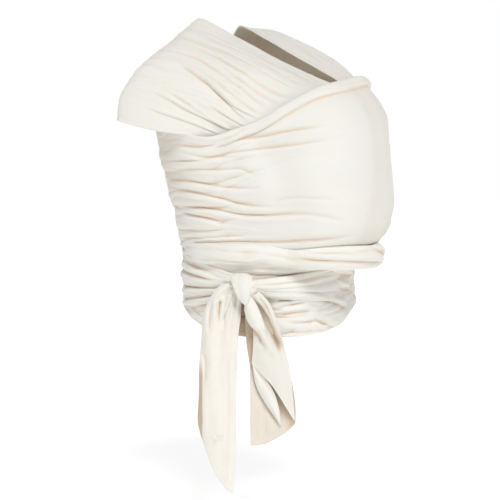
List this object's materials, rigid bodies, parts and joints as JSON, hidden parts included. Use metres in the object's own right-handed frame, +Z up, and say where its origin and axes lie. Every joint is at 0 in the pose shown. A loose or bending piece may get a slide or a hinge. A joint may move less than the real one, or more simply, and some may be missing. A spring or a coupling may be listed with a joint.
{
  "type": "baby wrap sling",
  "caption": "Stretch-jersey baby wrap sling, tied for wearing: shoulder bands spread like cap sleeves, crossed back, front baby pouch, waist wraps and a side knot with hanging ends.",
  "frame": {"origin": "midway between the wearer's shoulders, at the height where the cloth sits on them", "axes": "+Z up, the wearer faces -Y, the wearer's right is -X"},
  "size_m": [0.4276, 0.388, 0.7329],
  "materials": {
    "jersey": "soft matt knit"
  },
  "bodies": {
    "wrap": {"pouch_panel": "jersey", "pouch_rim": "jersey", "right_shoulder_band": "jersey", "left_shoulder_band": "jersey", "right_back_cross": "jersey", "left_back_cross": "jersey", "right_chest_cross": "jersey", "left_chest_cross": "jersey", "seat_roll": "jersey", "waist_wrap_inner": "jersey", "waist_wrap_outer": "jersey", "knot_strand_back": "jersey", "knot_strand_front": "jersey", "knot": "jersey", "knot_loop": "jersey"},
    "long_tail_top": {"long_tail_upper": "jersey"},
    "long_tail_end": {"long_tail_lower": "jersey"},
    "short_tail_top": {"short_tail_upper": "jersey"},
    "short_tail_end": {"short_tail_lower": "jersey"}
  },
  "joints": [
    {"name": "long_tail_swing", "type": "hinge", "parent": "wrap", "child": "long_tail_top", "pos_m": [-0.1451, -0.06996, -0.445], "axis": [-0.5592, 0.829, 0], "range_deg": [0, 80]},
    {"name": "long_tail_fold", "type": "hinge", "parent": "long_tail_top", "child": "long_tail_end", "pos_m": [-0.1451, -0.06996, -0.576], "axis": [-0.5592, 0.829, 0], "range_deg": [-30, 90]},
    {"name": "short_tail_swing", "type": "hinge", "parent": "wrap", "child": "short_tail_top", "pos_m": [-0.1451, -0.06996, -0.445], "axis": [-0.5592, 0.829, 0], "range_deg": [0, 80]},
    {"name": "short_tail_fold", "type": "hinge", "parent": "short_tail_top", "child": "short_tail_end", "pos_m": [-0.1451, -0.06996, -0.544], "axis": [-0.5592, 0.829, 0], "range_deg": [-30, 90]}
  ]
}
